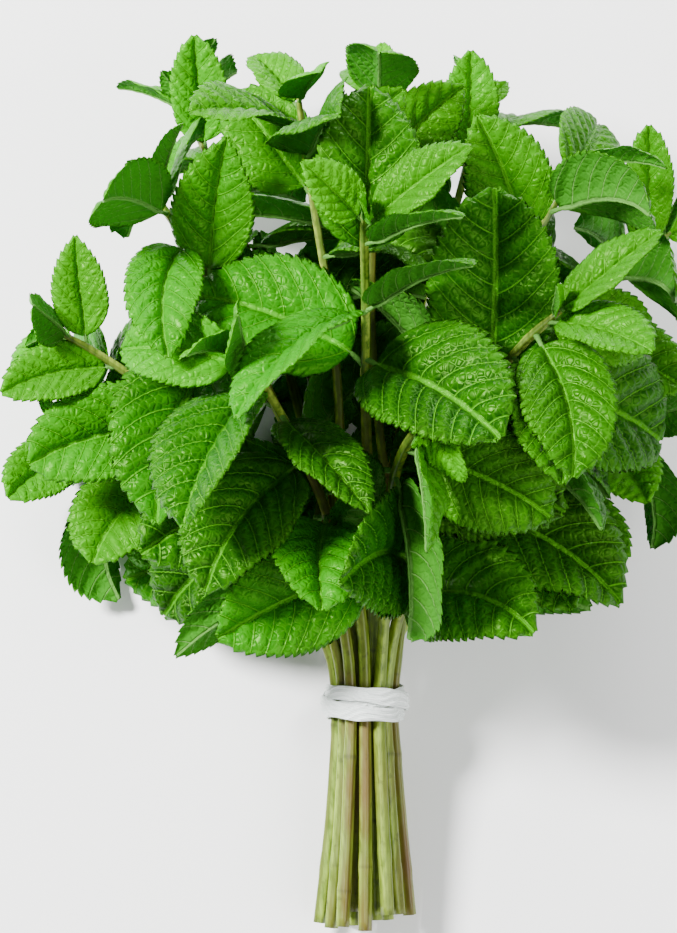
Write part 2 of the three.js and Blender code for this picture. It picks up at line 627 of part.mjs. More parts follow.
const paint = (color, roughness) => new THREE.MeshStandardMaterial({ color, roughness, metalness: 0 });
const LEAF_GREEN = paint(0x2f8a1a, 0.55);
const YOUNG_GREEN = paint(0x4fa829, 0.55);
const STEM_GREEN = paint(0x7c8a3e, 0.5);
const BAND_WHITE = paint(0xeef4ee, 0.7);

const bunch = new THREE.Group();
const shoots = growShoots();
const room = new Room();
const random = stream(7);

function addMesh(name, geometry, material) {
  const mesh = new THREE.Mesh(geometry, material);
  mesh.name = name;
  bunch.add(mesh);
}

// The leaves at one height of a shoot, those that find room.
function leafPair(sprig, node, { distance, root, turns, length, rise, droop }) {
  const { at, tangent } = shoots[sprig].frame(distance);
  return turns.flatMap((turn) => {
    const leaf = {
      node,
      at,
      tangent,
      root,
      turn,
      length: length * (0.94 + 0.12 * random()),
      rise,
      droop,
      twist: 0,
      roll: ROLL * (2 * random() - 1),
      fold: LEAF_FOLD * (0.5 + random()),
    };
    leaf.width = leaf.length * WIDTH_OF_LENGTH;
    const [{ place }] = leafFrames(leaf, [0.5]);
    leaf.twist = TURN_OUT * THREE.MathUtils.clamp(twistTo(leaf, place.sub(vec(...HEAD.centre))), -90, 90);
    return settle(leaf, room, sprig, random) ?? [];
  });
}

// How far an untwisted leaf must twist for its upper face to look a given way, halfway along.
function twistTo(leaf, wanted) {
  const [{ along, top }] = leafFrames({ ...leaf, twist: 0, roll: 0 }, [0.5]);
  const quarter = along.clone().cross(top);
  return THREE.MathUtils.radToDeg(Math.atan2(wanted.dot(quarter), wanted.dot(top)));
}

// A leaf that reaches from its root to a tip, with its upper face turned as asked for.
function aimedLeaf(base, { tip, face, width, droop }) {
  const { at, tangent, root } = base;
  const [u, v] = across(tangent);
  const reach = vec(...tip).sub(at);
  const turn = Math.atan2(reach.dot(v), reach.dot(u));
  reach.addScaledVector(u, -root * Math.cos(turn)).addScaledVector(v, -root * Math.sin(turn));
  const length = reach.length() * (1 + SAG_OF_DROOP * rad(droop) ** 2);
  const rise = THREE.MathUtils.radToDeg(Math.asin(reach.normalize().dot(tangent))) + MEAN_DROOP * droop;
  const straight = { turn: THREE.MathUtils.radToDeg(turn), length, rise, droop, twist: 0, roll: 0 };
  const leaf = { ...base, ...straight, width, fold: LEAF_FOLD, set: true };
  return { ...leaf, twist: twistTo(leaf, vec(...face)) };
}

// The azimuth, round a shoot, of the way out of the bunch.
function wayOut({ at, tangent }) {
  const [u, v] = across(tangent);
  const out = vec(at.x, 0, at.z);
  return THREE.MathUtils.radToDeg(Math.atan2(out.dot(v), out.dot(u)));
}

// The collar of a pair where it first finds room near its place on the stem.
function placeCollar(shoot, below, node) {
  for (const slide of SLIDES) {
    const distance = shoot.length - below + slide;
    const collar = collarSolid(shoot, distance);
    if (!room.admits(collar, node)) continue;
    room.admit(collar, node);
    return { distance, collar };
  }
  throw new Error(`no room for the collar of ${node}`);
}

// A solid with leaves joined to it.
const leafyGeometry = (core, leaves) => geometryOf(leaves.reduce((sum, leaf) => sum.add(leaf), core));

const label = (i) => String(i + 1).padStart(2, "0");
const pairName = (i, k) => `leaf_pair_${label(i)}${"abc"[k]}`;

shoots.forEach((shoot, i) => {
  const stem = stemGeometry(shoot);
  addMesh(`stem_${label(i)}`, stem, STEM_GREEN);
  room.admit(solidOf(stem), `stem_${label(i)}`);
  room.fill(stemSamples(shoot), i);
});

const cores = shoots.map((shoot, i) => {
  const core = crownCore(shoot);
  room.admit(core, `crown_${label(i)}`);
  return core;
});
const collars = SPRIGS.map(({ pairs }, i) =>
  pairs.map((below, k) => placeCollar(shoots[i], below, pairName(i, k))),
);

// The set leaves, by sprig and pair, and the azimuths at which their pairs then need no other leaf.
const setLeaves = new Map();
for (const wanted of SET_LEAVES) {
  const i = wanted.sprig - 1;
  const k = "abc".indexOf(wanted.pair);
  const distance = k < 0 ? shoots[i].crownAt + CROWN_PAIRS[wanted.pair].up : collars[i][k].distance;
  const node = k < 0 ? `crown_${label(i)}` : pairName(i, k);
  const root = k < 0 ? CORE_ROOT : collarRadius(distance);
  const leaf = aimedLeaf({ ...shoots[i].frame(distance), node, root }, wanted);
  const solid = settle(leaf, room, i, random);
  const key = `${i}/${wanted.pair}`;
  if (!solid) throw new Error(`no room for the set leaf ${key}`);
  setLeaves.set(key, [...(setLeaves.get(key) ?? []), { solid, turn: leaf.turn }]);
}

// A pair's leaves: those that are set, and the others where they find room.
function wholePair(sprig, pair, node, growth) {
  const set = setLeaves.get(`${sprig}/${pair}`) ?? [];
  const turns = [...growth.turns];
  for (const { turn } of set) {
    const off = (other) => Math.cos(rad(other - turn));
    turns.sort((a, b) => off(a) - off(b)).pop();
  }
  return [...set.map(({ solid }) => solid), ...leafPair(sprig, node, { ...growth, turns })];
}

SPRIGS.forEach(({ turn, size }, i) => {
  const crown = `crown_${label(i)}`;
  const young = CROWN_PAIRS.flatMap(({ up, length, rise, droop }, k) =>
    wholePair(i, k, crown, {
      distance: shoots[i].crownAt + up,
      root: CORE_ROOT,
      turns: [turn + 90 * k, turn + 90 * k + 180],
      length: length * size,
      rise,
      droop,
    }),
  );
  addMesh(crown, leafyGeometry(cores[i], young), YOUNG_GREEN);
  collars[i].forEach(({ distance, collar }, k) => {
    const out = wayOut(shoots[i].frame(distance));
    const grown = wholePair(i, "abc"[k], pairName(i, k), {
      distance,
      root: collarRadius(distance),
      turns: PAIR_SPLAYS[k % 2].map((splay) => out + splay),
      length: PAIR_LEAF,
      rise: PAIR_RISE,
      droop: PAIR_DROOP,
    });
    if (grown.length) addMesh(pairName(i, k), leafyGeometry(collar, grown), LEAF_GREEN);
  });
});

addMesh("tie_band", bandGeometry(), BAND_WHITE);

// The origin is on the surface, under the middle of the bunch.
const box = new THREE.Box3().setFromObject(bunch);
const middle = box.getCenter(vec(0, 0, 0));
bunch.position.set(-middle.x, -middle.y, -box.min.z);

export default bunch;
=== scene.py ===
"""A tied bunch of fresh mint on a pale floor: veined, toothed leaves, square stems and a wound white band.

Every shape grows out of the CAD frame. The rings of each CAD leaf, stem and band give the line, the width
and the lie of the detailed piece that stands for it. Lengths are in millimetres until a mesh is made.
"""

import math

import bpy
import numpy as np
from mathutils import Matrix, Vector


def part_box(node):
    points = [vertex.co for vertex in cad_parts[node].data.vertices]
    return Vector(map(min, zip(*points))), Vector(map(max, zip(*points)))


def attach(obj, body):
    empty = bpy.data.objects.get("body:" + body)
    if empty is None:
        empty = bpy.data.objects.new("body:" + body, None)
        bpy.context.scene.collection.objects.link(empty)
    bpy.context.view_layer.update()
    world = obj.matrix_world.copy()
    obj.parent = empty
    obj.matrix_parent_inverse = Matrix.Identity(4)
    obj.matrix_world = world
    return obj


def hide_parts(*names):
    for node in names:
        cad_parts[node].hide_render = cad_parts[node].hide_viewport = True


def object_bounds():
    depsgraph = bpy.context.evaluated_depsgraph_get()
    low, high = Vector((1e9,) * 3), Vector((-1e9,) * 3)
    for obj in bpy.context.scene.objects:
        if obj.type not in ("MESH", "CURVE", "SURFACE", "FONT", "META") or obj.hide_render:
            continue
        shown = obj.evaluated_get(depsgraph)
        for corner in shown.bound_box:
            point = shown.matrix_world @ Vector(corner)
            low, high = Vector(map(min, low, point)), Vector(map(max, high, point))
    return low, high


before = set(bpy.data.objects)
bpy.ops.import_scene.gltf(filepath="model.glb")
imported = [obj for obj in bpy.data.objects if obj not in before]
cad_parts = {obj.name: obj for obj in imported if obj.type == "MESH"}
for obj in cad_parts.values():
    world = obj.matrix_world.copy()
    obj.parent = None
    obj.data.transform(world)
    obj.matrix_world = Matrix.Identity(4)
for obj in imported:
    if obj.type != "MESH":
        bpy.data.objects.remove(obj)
cad_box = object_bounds()
low, high = (np.array(corner, float) for corner in cad_box)

MM = 0.001
HEAD = (0.5 * (low + high) / MM) * [1, 0, 0.8] + [0, 30, 8]  # the middle of the leaves
HEAD_RADII = np.array([90, 84, 62])
FLOOR_CLEAR = 0.12  # nothing comes nearer to the floor than this
FIRST_SEED = 700  # each sprig draws its own random numbers

# ---------------------------------------------------------------- leaves: sizes
CAD_SHARES = [0.83, 0.58, 0.32, 0.1]  # where a CAD leaf's rings stand along it, from the tip
CAD_WIDTHS = {0.58: 0.96, 0.32: 0.88}  # how much of the full width those rings have
STALK = 0.1  # the stalk's share of the leaf
TOOTH = 2.3  # from one tooth of the margin to the next
FEWEST_TEETH = 7
TOOTH_GROWTH = (0.45, 0.55, 45)  # teeth are this share of TOOTH, and this much more on a blade of 45 mm
ROWS_IN_TOOTH = [0.0, 0.3, 0.62, 0.86]
TOOTH_OUT = [-0.6, 0.05, 0.5, 0.62]  # of the tooth's depth
TOOTH_AHEAD = [0.0, 0.04, 0.16, 0.36]  # of the tooth's length
TOOTH_DEPTH = 0.055  # of the leaf's half width
MARGIN_POWER = 8  # how closely the teeth and the thin rim keep to the margin
EDGE_HIGHLIGHT_POWER = 10  # how closely the painted highlight along the margin keeps to it
THIN_END = 0.3  # where the blade is narrower than this share of its width, it gets thinner
COLUMNS = [0.0, 0.04, 0.1, 0.18, 0.27, 0.36, 0.46, 0.56, 0.66, 0.76, 0.85, 0.93, 1.0]  # midrib to margin
OUTLINE_AT = [0, 0.03, 0.1, 0.22, 0.38, 0.54, 0.7, 0.84, 0.94, 1]
SHARP = [0.03, 0.34, 0.66, 0.9, 1.0, 0.96, 0.79, 0.52, 0.24, 0.02]
BLUNT = [0.03, 0.4, 0.7, 0.91, 1.0, 1.0, 0.89, 0.68, 0.42, 0.03]
WIDEN = (0.96, 1.08)  # a blade's width against its CAD leaf's
SIDE_VEINS = 7
VEIN_SWEEP = (0.15, 0.2)  # how far a side vein runs towards the tip on its way to the margin
VEIN_STAGGER = 0.17  # the veins of the two sides don't meet at the midrib
BLADE_THICK = 0.3
QUILT_POWER = 0.8
QUILT_FROM = 0.2  # it is full from this share of the half width on
QUILT = 0.07  # the blade's puffing between side veins, of the half width
PUCKER = 0.15  # the small puckers between the finest veins, in mm
PUCKER_EVERY = 3.1
PUCKER_DRIFT = (0.6, 0.3, 7)  # how far the puckers slant from one side vein to the next, and swirl
SMOOTH_POWER = 6  # the quilting fades out towards the margin
MIDRIB_DIP = 0.07
DIP_HALF = 0.07
DIP_FADE = (0.6, 0.12)  # how much shallower it is at the tip, and from which share of the blade it is full
BOW = 0.07  # each blade half's bulge, of the half width
WAVE = 0.06  # the margin's rise and fall, of the half width
BOWS, WAVES = (0.5, 1.3), (0.4, 1.2)  # one leaf's share of these
WAVE_COUNT = (1.3, 2.6)
RIB_RADIUS = (0.95, 0.62, 0.14)  # at the stalk's root, at the blade and at the tip, on a 50 mm leaf
RIB_SINK = (0.0, 0.2, 0.85)  # how deep the ridge lies in the blade at about the same places, of its radius
RIB_SINKS_IN = 0.05
RIB_SIZE = (0.45, 90, 1.1)  # its size on a leaf of no length, the length that adds 1, and the most
RIB_FLAT = 0.85
RIB_SIDES = 8
STALK_ROWS = 4

# ---------------------------------------------------------------- stems and band: sizes
STEM_HALF = 1.42
STEM_CORNER = 1.74
FACE_HOLLOW = (0.05, 0.6)  # how deep a face is hollow, and how much of it
SHADED_FACES = 0.6  # the turn, in radians, that sets which two faces get painted shade and which two painted light
STEM_TAPER = (1.0, 0.62, 190)  # size at the foot, and at a distance from it
STEM_STEP = 2.2
STEM_SIDES = 20
CROWN_CORE = 44.0
CROWN_STRAIGHT = 12  # a crown's axis still runs on from its stem at this distance
CROWN_OVERLAP = 1.5
CROWN_STATIONS = 22
STEM_TWIST = 0.5  # radians from one end to the other
STEM_SPIN = (0.3, 1.25)
TIP_TAPER = (12, 0.3)  # a shoot's tip narrows over this length, to the root of this share
NODE_SPACING = (26.0, 44.0)
NODE_COUNT = 6
FIRST_NODE = 18  # the first bare node is this much nearer to the foot than the spacing says
NODE_CLEAR = (6, 9)  # from the stem's top, and from a leaf pair
NODE_SWELL = 0.13
NODE_REACH = 1.5
BAND_TURNS = 3
BAND_LAPS = 2  # how often the turns cross on the way round
BAND_STRANDS = 14
BAND_STEPS = 240  # a turn
BAND_RADIUS = (10.1, 0.78)  # the middle of the turns, and how far they stand in and out of it
BAND_CLIMB = 2.7
BAND_HALF = 1.95
BAND_THICK = 0.34
BAND_SAG = 0.25
PLEAT = (0.24, 0.12)  # the wide pleats and the fine ones
PLEAT_RISE = 0.8
CREASE_DEPTH = 0.25  # a pleat this deep has the full painted shade of a crease

# ---------------------------------------------------------------- colours, linear
LEAF_DARK = (0.0014, 0.018, 0.001, 1)
LEAF_MID = (0.0028, 0.064, 0.0008, 1)
LEAF_BRIGHT = (0.018, 0.25, 0.0008, 1)
# The next colour is the yellow-green of young leaves, and also painted light on rim leaves and on the
# puffed blade.
LEAF_YOUNG_AND_LIT = (0.1, 0.54, 0.0008, 1)
LEAF_UNDER = (0.045, 0.22, 0.015, 1)
LEAF_VEIN = (0.09, 0.42, 0.008, 1)
LEAF_UNDER_VEIN = (0.2, 0.42, 0.1, 1)
LEAF_GLOW = (0.05, 0.45, 0.0008, 1)
LEAF_SHEEN = (0.4, 0.9, 0.12, 1)
STEM_OLIVE = (0.075, 0.135, 0.008, 1)
STEM_PALE = (0.25, 0.36, 0.035, 1)
STEM_PURPLE = (0.1, 0.05, 0.012, 1)
# The next colour, the crown shoot's dark green, is partly its own colour and partly painted shade of the
# crown's hollow.
STEM_GREEN = (0.022, 0.09, 0.005, 1)
STEM_DARK = (0.016, 0.014, 0.006, 1)
STEM_CUT = (0.3, 0.36, 0.14, 1)
BAND_WHITE = (0.97, 0.99, 0.975, 1)
BAND_SHADE = (0.74, 0.83, 0.77, 1)
FLOOR_PALE = (0.88, 0.88, 0.87, 1)
FLOOR_WHITE = (0.91, 0.91, 0.9, 1)

# ---------------------------------------------------------------- finishes
# A pair such as MIDRIB_LINE says where a pattern fades out and where it is full. A bump is its strength and
# its depth in metres. PATCHES, GRAIN and the like are how many of them stand in a metre, roughly.
PATCHES, GRAIN, CELLS = 45, 420, 560
SIDE_VEIN_LINE = (0.06, 0.018)  # of the space between two side veins
MIDRIB_LINE = (0.055, 0.025)  # of the half width
NET_LINE = (0.09, 0.0)
PUFF = (0.05, 0.5)
GRAIN_SPOTS = (0.35, 0.75)
MID_TONES, BRIGHT_TONES = (0.0, 0.55), (0.5, 1.0)
PATCH_SHARE, YOUTH_AND_GLOW_SHARE, PUFF_HIGHLIGHT_SHARE, GRAIN_SHARE = 0.8, 0.85, 0.22, 0.18
NET_SHARE, VEIN_SHARE, EDGE_HIGHLIGHT_SHARE = 0.16, 0.6, 0.3
UNDER_TONE_SHARE, UNDER_PATCH_SHARE, UNDER_VEIN_SHARE = 0.35, 0.4, 0.5
CELL_DOME, CELL_HEIGHT = (0.0, 0.3), 0.36
VEIN_BUMP, GRAIN_BUMP = (0.9, 0.0005), (0.25, 0.00006)
LEAF_ROUGH, UNDER_ROUGHER, LEAF_GLOSS = (0.3, 0.46), 0.3, 0.4
LIGHT_THROUGH = 0.32
GLOW_SHARES = (0.62, 0.3)  # between the veins and on them
FIBRES, FIBRE_STRETCH = 900, 0.12
BLUSH, BLUSH_STRETCH = 60, 0.35
SPOTS = 350
PALE_FIBRES, PALE_FACES = (0.25, 0.7), (1.0, 0.35)  # the faces: with painted light, and with painted shade
# The blush is the stem's own brown; the faces with painted shade get more brown.
BROWN_BLUSH, PAINTED_SHADE_BROWN = (0.4, 0.68), 0.3
BROWN_STEMS = (0.1, 0.6, 0.3, 1.0)  # some stems are browner than others
DARK_SPOTS, SPOT_SHARE = (0.6, 0.72), 0.4
DARK_NODES, NODE_SHARE = (0.6, 1.0), 0.45
FIBRE_BUMP, SPOT_BUMP = (0.5, 0.00016), (0.3, 0.0001)
STEM_ROUGH, STEM_GLOSS = (0.3, 0.48), 0.3
STEM_STREAKS, SHOOT_STREAKS = 0.75, 0.6
STRAND_SCALE, STRAND_SLANT = (14, 60, 1), 0.12
# Where painted shade lies between the strands and in the creases.
STRAND_SHADE, CREASE_SHADE_SHARE = (0.62, 0.3), 0.5
WRINKLES = 700
STRAND_BUMP, WRINKLE_BUMP = (0.8, 0.0003), (0.4, 0.00012)
BAND_ROUGH, BAND_SHEEN = (0.28, 0.55), 0.15
FLOOR_ROUGH = 0.75

# ---------------------------------------------------------------- how the leaves' colours lie in the bunch
# Painted light and shade: leaves on top, on the rim and on the left are painted lighter, and leaves deep
# inside and on the right darker.
TONE, PAINTED_LIGHT_UP, PAINTED_SHADE_RIGHT = 0.36, 0.14, 0.36
PAINTED_LIGHT_OUT, TONE_EVEN_AT = 0.3, 0.7  # how much painted light outwards and painted shade inwards, and where that adds nothing
TONE_SCATTER = 0.24
# Painted light: rim leaves, more on the left, get the young leaves' yellow-green, as if lit through from
# behind.
RIM_RISE, RIM_FROM = 3, 0.72
RIM_PAINTED_GLOW = (0.1, 0.8)
RIM_LEFT = 0.5
YOUTH_BY_SIZE = (1.2, 38)  # a leaf's youth is the first less its length over the second
GROWN_YOUTH_AND_GLOW = 0.6  # the share of it that shows on the leaves below the crowns


# ---------------------------------------------------------------- small helpers
def unit(v):
    return v / np.maximum(np.linalg.norm(v, axis=-1, keepdims=True), 1e-9)


def through(knots, values, at):
    """A smooth curve through values at their knots, read at the places in at."""
    knots, values = np.asarray(knots, float), np.asarray(values, float)
    if values.ndim == 1:
        return through(knots, values[:, None], at)[:, 0]
    slopes = np.gradient(values, knots, axis=0)
    i = np.clip(np.searchsorted(knots, at, side="right") - 1, 0, len(knots) - 2)
    span = (knots[i + 1] - knots[i])[:, None]
    t = ((at - knots[i]) / span[:, 0])[:, None]
    near, far = (1 - t) ** 2, t**2
    return (
        near * (1 + 2 * t) * values[i]
        + far * (3 - 2 * t) * values[i + 1]
        + near * t * span * slopes[i]
        - far * (1 - t) * span * slopes[i + 1]
    )


# ---------------------------------------------------------------- reading the CAD frame
def welded(node):
    """A CAD node's points in mm, each place once, and each point's neighbours."""
    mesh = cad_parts[node].data
    places = [tuple(round(c / MM, 3) for c in v.co) for v in mesh.vertices]
    index = {place: i for i, place in enumerate(dict.fromkeys(places))}
    neighbours = [set() for _ in index]
    for edge in mesh.edges:
        a, b = (index[places[v]] for v in edge.vertices)
        if a != b:
            neighbours[a].add(b)
            neighbours[b].add(a)
    return np.array(list(index)), neighbours


def rings_from(tip, sides, neighbours, most=99):
    """The rings of points, all with the same number of sides, that follow from a pointed end."""
    rings, seen, ring = [], {tip}, set(neighbours[tip])
    while len(ring) == sides and len(rings) < most:
        if any(len(neighbours[v] & ring) != 2 for v in ring):
            break
        rings.append(sorted(ring))
        seen |= ring
        ring = set().union(*(neighbours[v] for v in ring)) - seen
    return rings


class Leaf:
    """A CAD leaf's midrib, its two margins and its upper side at shares of its length."""

    def __init__(self, tip, rings):
        self.shares = [1.0]
        self.mids, self.sides = [tip], [None]
        before = None
        for share, ring in zip(CAD_SHARES, rings):
            mid, margins = self.read(ring, before)
            before = margins
            self.shares.insert(0, share)
            self.mids.insert(0, mid)
            self.sides.insert(0, unit(margins - mid))
            if share in CAD_WIDTHS:
                self.half = np.linalg.norm(margins - mid, axis=1).mean() / CAD_WIDTHS[share]
        self.sides[-1] = self.sides[-2]
        lowest = self.mids[0]
        self.root = lowest + (lowest - self.mids[1]) * self.shares[0] / (self.shares[1] - self.shares[0])

    @staticmethod
    def read(ring, before):
        """A ring's middle on the midrib, and its two margin points in the order of the ring before."""
        gaps = {(i, j): np.linalg.norm(ring[i] - ring[j]) for i in range(4) for j in range(i)}
        margin = max(gaps, key=gaps.get)
        mid = ring[[k for k in range(4) if k not in margin]].mean(0)
        margins = ring[list(margin)]
        if before is not None and np.linalg.norm(margins - before) > np.linalg.norm(margins[::-1] - before):
            margins = margins[::-1]
        return mid, margins

    def finish(self, root):
        """Adds the root, and turns the leaf so that its first side is on the left of its upper face."""
        self.shares.insert(0, 0.0)
        self.mids.insert(0, root)
        self.sides.insert(0, self.sides[0])
        self.mids, self.sides = np.array(self.mids), np.array(self.sides)
        self.length = np.linalg.norm(np.diff(self.mids, axis=0), axis=1).sum()
        middle = len(self.shares) - 3
        rise = self.sides[middle].sum(0)
        along = self.mids[middle + 1] - self.mids[middle]
        up = rise - unit(along) * (rise @ unit(along))
        if np.linalg.norm(rise) * self.half < 0.5:
            up = np.array([0, 0, 1.0])  # a leaf pressed flat on the floor has its upper side up
        if np.cross(self.sides[middle][0], along) @ up > 0:
            self.sides = self.sides[:, ::-1]


def read_leaves(node):
    points, neighbours = welded(node)
    found = []
    for tip in range(len(points)):
        if len(neighbours[tip]) != 4:
            continue
        rings = rings_from(tip, 4, neighbours, most=4)
        if len(rings) >= 3:
            found.append(Leaf(points[tip], [points[ring] for ring in rings]))
    return found


def read_stem(node):
    """A stem's stations from the foot up: their middles, and the direction of one flat face at each."""
    points, neighbours = welded(node)
    ends = [i for i in range(len(points)) if len(neighbours[i]) == 8]
    foot = min(ends, key=lambda i: points[i][1])
    rings = [points[ring] for ring in rings_from(foot, 8, neighbours)]
    middles = np.array([ring.mean(0) for ring in rings])
    faces = []
    for ring, middle in zip(rings, middles):
        spokes = unit(ring - middle)
        closeness = spokes @ spokes.T - 2 * np.eye(8)
        i, j = np.unravel_index(closeness.argmax(), closeness.shape)
        faces.append(unit(spokes[i] + spokes[j]))
    return middles, np.array(faces)


# ---------------------------------------------------------------- mesh pieces
class Sheet:
    """Points, faces and point attributes that grow leaf by leaf and stem by stem into one mesh."""

    def __init__(self):
        self.points, self.faces, self.slots, self.data = [], [], [], {}
        self.count = 0

    def add(self, points, faces, slot=0, **data):
        self.faces += [tuple(i + self.count for i in face) for face in faces]
        self.slots += [slot] * len(faces)
        self.points.append(points)
        for name in ("place", "look"):
            value = data.get(name, np.zeros(3))
            self.data.setdefault(name, []).append(np.broadcast_to(value, points.shape))
        self.count += len(points)

    def make(self, name, materials, node_names, slot):
        points = np.concatenate(self.points)
        points[:, 2] = np.maximum(points[:, 2], FLOOR_CLEAR)
        mesh = bpy.data.meshes.new(name)
        mesh.from_pydata((points * MM).tolist(), [], self.faces)
        mesh.polygons.foreach_set("use_smooth", [True] * len(self.faces))
        mesh.polygons.foreach_set("material_index", self.slots)
        for key, parts in self.data.items():
            attribute = mesh.attributes.new(key, "FLOAT_VECTOR", "POINT")
            attribute.data.foreach_set("vector", np.concatenate(parts).astype(np.float32).ravel())
        mesh.validate()
        for material in materials:
            mesh.materials.append(material)
        piece = bpy.data.objects.new(name, mesh)
        bpy.context.scene.collection.objects.link(piece)
        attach(piece, "root")
        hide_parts(*node_names)
        return piece


def grid_faces(rows, columns, closed, flip=False):
    """Faces between rows of points; closed joins each row's end to its start."""
    faces = []
    for r in range(rows - 1):
        for c in range(columns if closed else columns - 1):
            d = (c + 1) % columns
            face = (r * columns + c, r * columns + d, (r + 1) * columns + d, (r + 1) * columns + c)
            faces.append(face[::-1] if flip else face)
    return faces


def tube(middles, across, over, rings):
    """A closed tube: each row is a ring of (x, y) offsets along across and over, round its middle."""
    rows, sides = rings.shape[:2]
    points = middles[:, None] + rings[..., :1] * across[:, None] + rings[..., 1:] * over[:, None]
    faces = grid_faces(rows, sides, closed=True)
    first, last = rows * sides, rows * sides + 1
    ends = [(first, (c + 1) % sides, c) for c in range(sides)]
    top = (rows - 1) * sides
    ends += [(last, top + c, top + (c + 1) % sides) for c in range(sides)]
    points = np.concatenate([points.reshape(-1, 3), middles[:1], middles[-1:]])
    return points, faces + ends


def carried(line, start):
    """Two directions square to a line at each of its points, carried along it without twisting."""
    tangents = unit(np.gradient(line, axis=0))
    across = np.empty_like(line)
    direction = start
    for i, tangent in enumerate(tangents):
        direction = unit(direction - tangent * (direction @ tangent))
        across[i] = direction
    return across, np.cross(tangents, across)


# ---------------------------------------------------------------- leaves
def side_vein_phase(x, out, side):
    """Whole numbers of this lie on the side veins. out is the distance from the midrib, 0 to 1."""
    sweep, curl = VEIN_SWEEP
    return (x - sweep * out - curl * out**2) * SIDE_VEINS + VEIN_STAGGER * side


def leaf_relief(x, t, out, side, half, shape):
    """How far the blade stands above its folded sheet, in mm."""
    phase = side_vein_phase(x, out, side)
    between = np.abs(np.sin(np.pi * phase)) ** QUILT_POWER
    inside = 1 - t**SMOOTH_POWER
    quilt = QUILT * between * np.minimum(1, out / QUILT_FROM) * inside
    slant, swirl, swirls = PUCKER_DRIFT
    rows = out * half / PUCKER_EVERY + slant * phase + swirl * np.sin(swirls * phase)
    crossing = np.abs(np.sin(np.pi * rows))
    fine = PUCKER / half * crossing * between * inside
    shallower, dip_from = DIP_FADE
    dip = -MIDRIB_DIP * np.exp(-((out / DIP_HALF) ** 2)) * (1 - shallower * x) * np.minimum(1, x / dip_from)
    bow = shape["bow"] * 4 * t * (1 - t) * np.sin(np.pi * x) ** 0.5
    swing = 2 * np.pi * (shape["waves"] * x + shape["phase"] + 0.3 * side)
    wave = shape["wave"] * t**2 * np.sin(swing) * np.sin(np.pi * x)
    return half * (quilt + fine + dip + bow + wave)


def blade_rows(blade):
    """Places along the blade, a few to each tooth, and each one's share of a tooth's depth and length."""
    least, growth, full = TOOTH_GROWTH
    teeth = max(FEWEST_TEETH, round(blade / (TOOTH * (least + growth * blade / full))))
    x = [(k + r) / teeth for k in range(teeth) for r in ROWS_IN_TOOTH] + [1.0]
    out = TOOTH_OUT * teeth + [0.0]
    ahead = TOOTH_AHEAD * teeth + [0.0]
    return np.array(x), np.array(out), np.array(ahead) / teeth * blade


def add_blade(sheet, leaf, shape, look):
    half, blade = leaf.half * shape["widen"], leaf.length * (1 - STALK)
    x, tooth_out, tooth_ahead = blade_rows(blade)
    s = STALK + x * (1 - STALK)
    middles = through(leaf.shares, leaf.mids, s)
    along = unit(np.gradient(middles, axis=0))
    sharp, blunt = (through(OUTLINE_AT, outline, x) for outline in (SHARP, BLUNT))
    widths = sharp + (blunt - sharp) * shape["blunt"]
    t = np.array(COLUMNS[:0:-1] + COLUMNS)
    side = np.array([-1.0] * (len(COLUMNS) - 1) + [1.0] * len(COLUMNS))
    sides = [unit(through(leaf.shares, leaf.sides[:, k], s)) for k in range(2)]
    across = np.where(side[None, :, None] < 0, sides[0][:, None], sides[1][:, None])
    margin = t**MARGIN_POWER
    teeth = TOOTH_DEPTH * half * widths[:, None] ** 0.5 * tooth_out[:, None] * margin
    reach = widths[:, None] * t * half + teeth
    ahead = tooth_ahead[:, None] * margin
    points = middles[:, None] + across * reach[..., None] + along[:, None] * ahead[..., None]
    normals = unit(np.cross(np.gradient(points, axis=1), np.gradient(points, axis=0)))
    out = widths[:, None] * t
    relief = leaf_relief(x[:, None], t[None], out, side[None], half, shape)
    points = points + normals * relief[..., None]
    rows, columns = reach.shape
    thick = BLADE_THICK * (1 - margin) * np.minimum(1, widths / THIN_END)[:, None]
    rim = np.zeros((rows, columns), bool)
    rim[[0, -1]] = True
    rim[:, [0, -1]] = True
    below = np.full((rows, columns), -1)
    below[~rim] = rows * columns + np.arange((~rim).sum())
    below[rim] = np.arange(rows * columns).reshape(rows, columns)[rim]
    top = points + normals * 0.5 * thick[..., None]
    bottom = points - normals * 0.5 * thick[..., None]
    every = np.concatenate([top.reshape(-1, 3), bottom[~rim]])
    faces = grid_faces(rows, columns, closed=False, flip=True)
    lower = below.ravel()
    faces += [tuple(int(lower[i]) for i in face[::-1]) for face in faces]
    # The third number of place says where the painted highlight along the margin lies.
    place = np.stack(np.broadcast_arrays(x[:, None], out * side, t**EDGE_HIGHLIGHT_POWER), -1)
    looks = np.broadcast_to([look[0], look[1], 0.0], points.shape)
    place = np.concatenate([place.reshape(-1, 3), place[~rim]])
    looks = np.concatenate([looks.reshape(-1, 3), looks[~rim] + [0, 0, 1]])
    sheet.add(every, faces, place=place, look=looks)
    centre = len(COLUMNS) - 1
    return points[:, centre], normals[:, centre], s


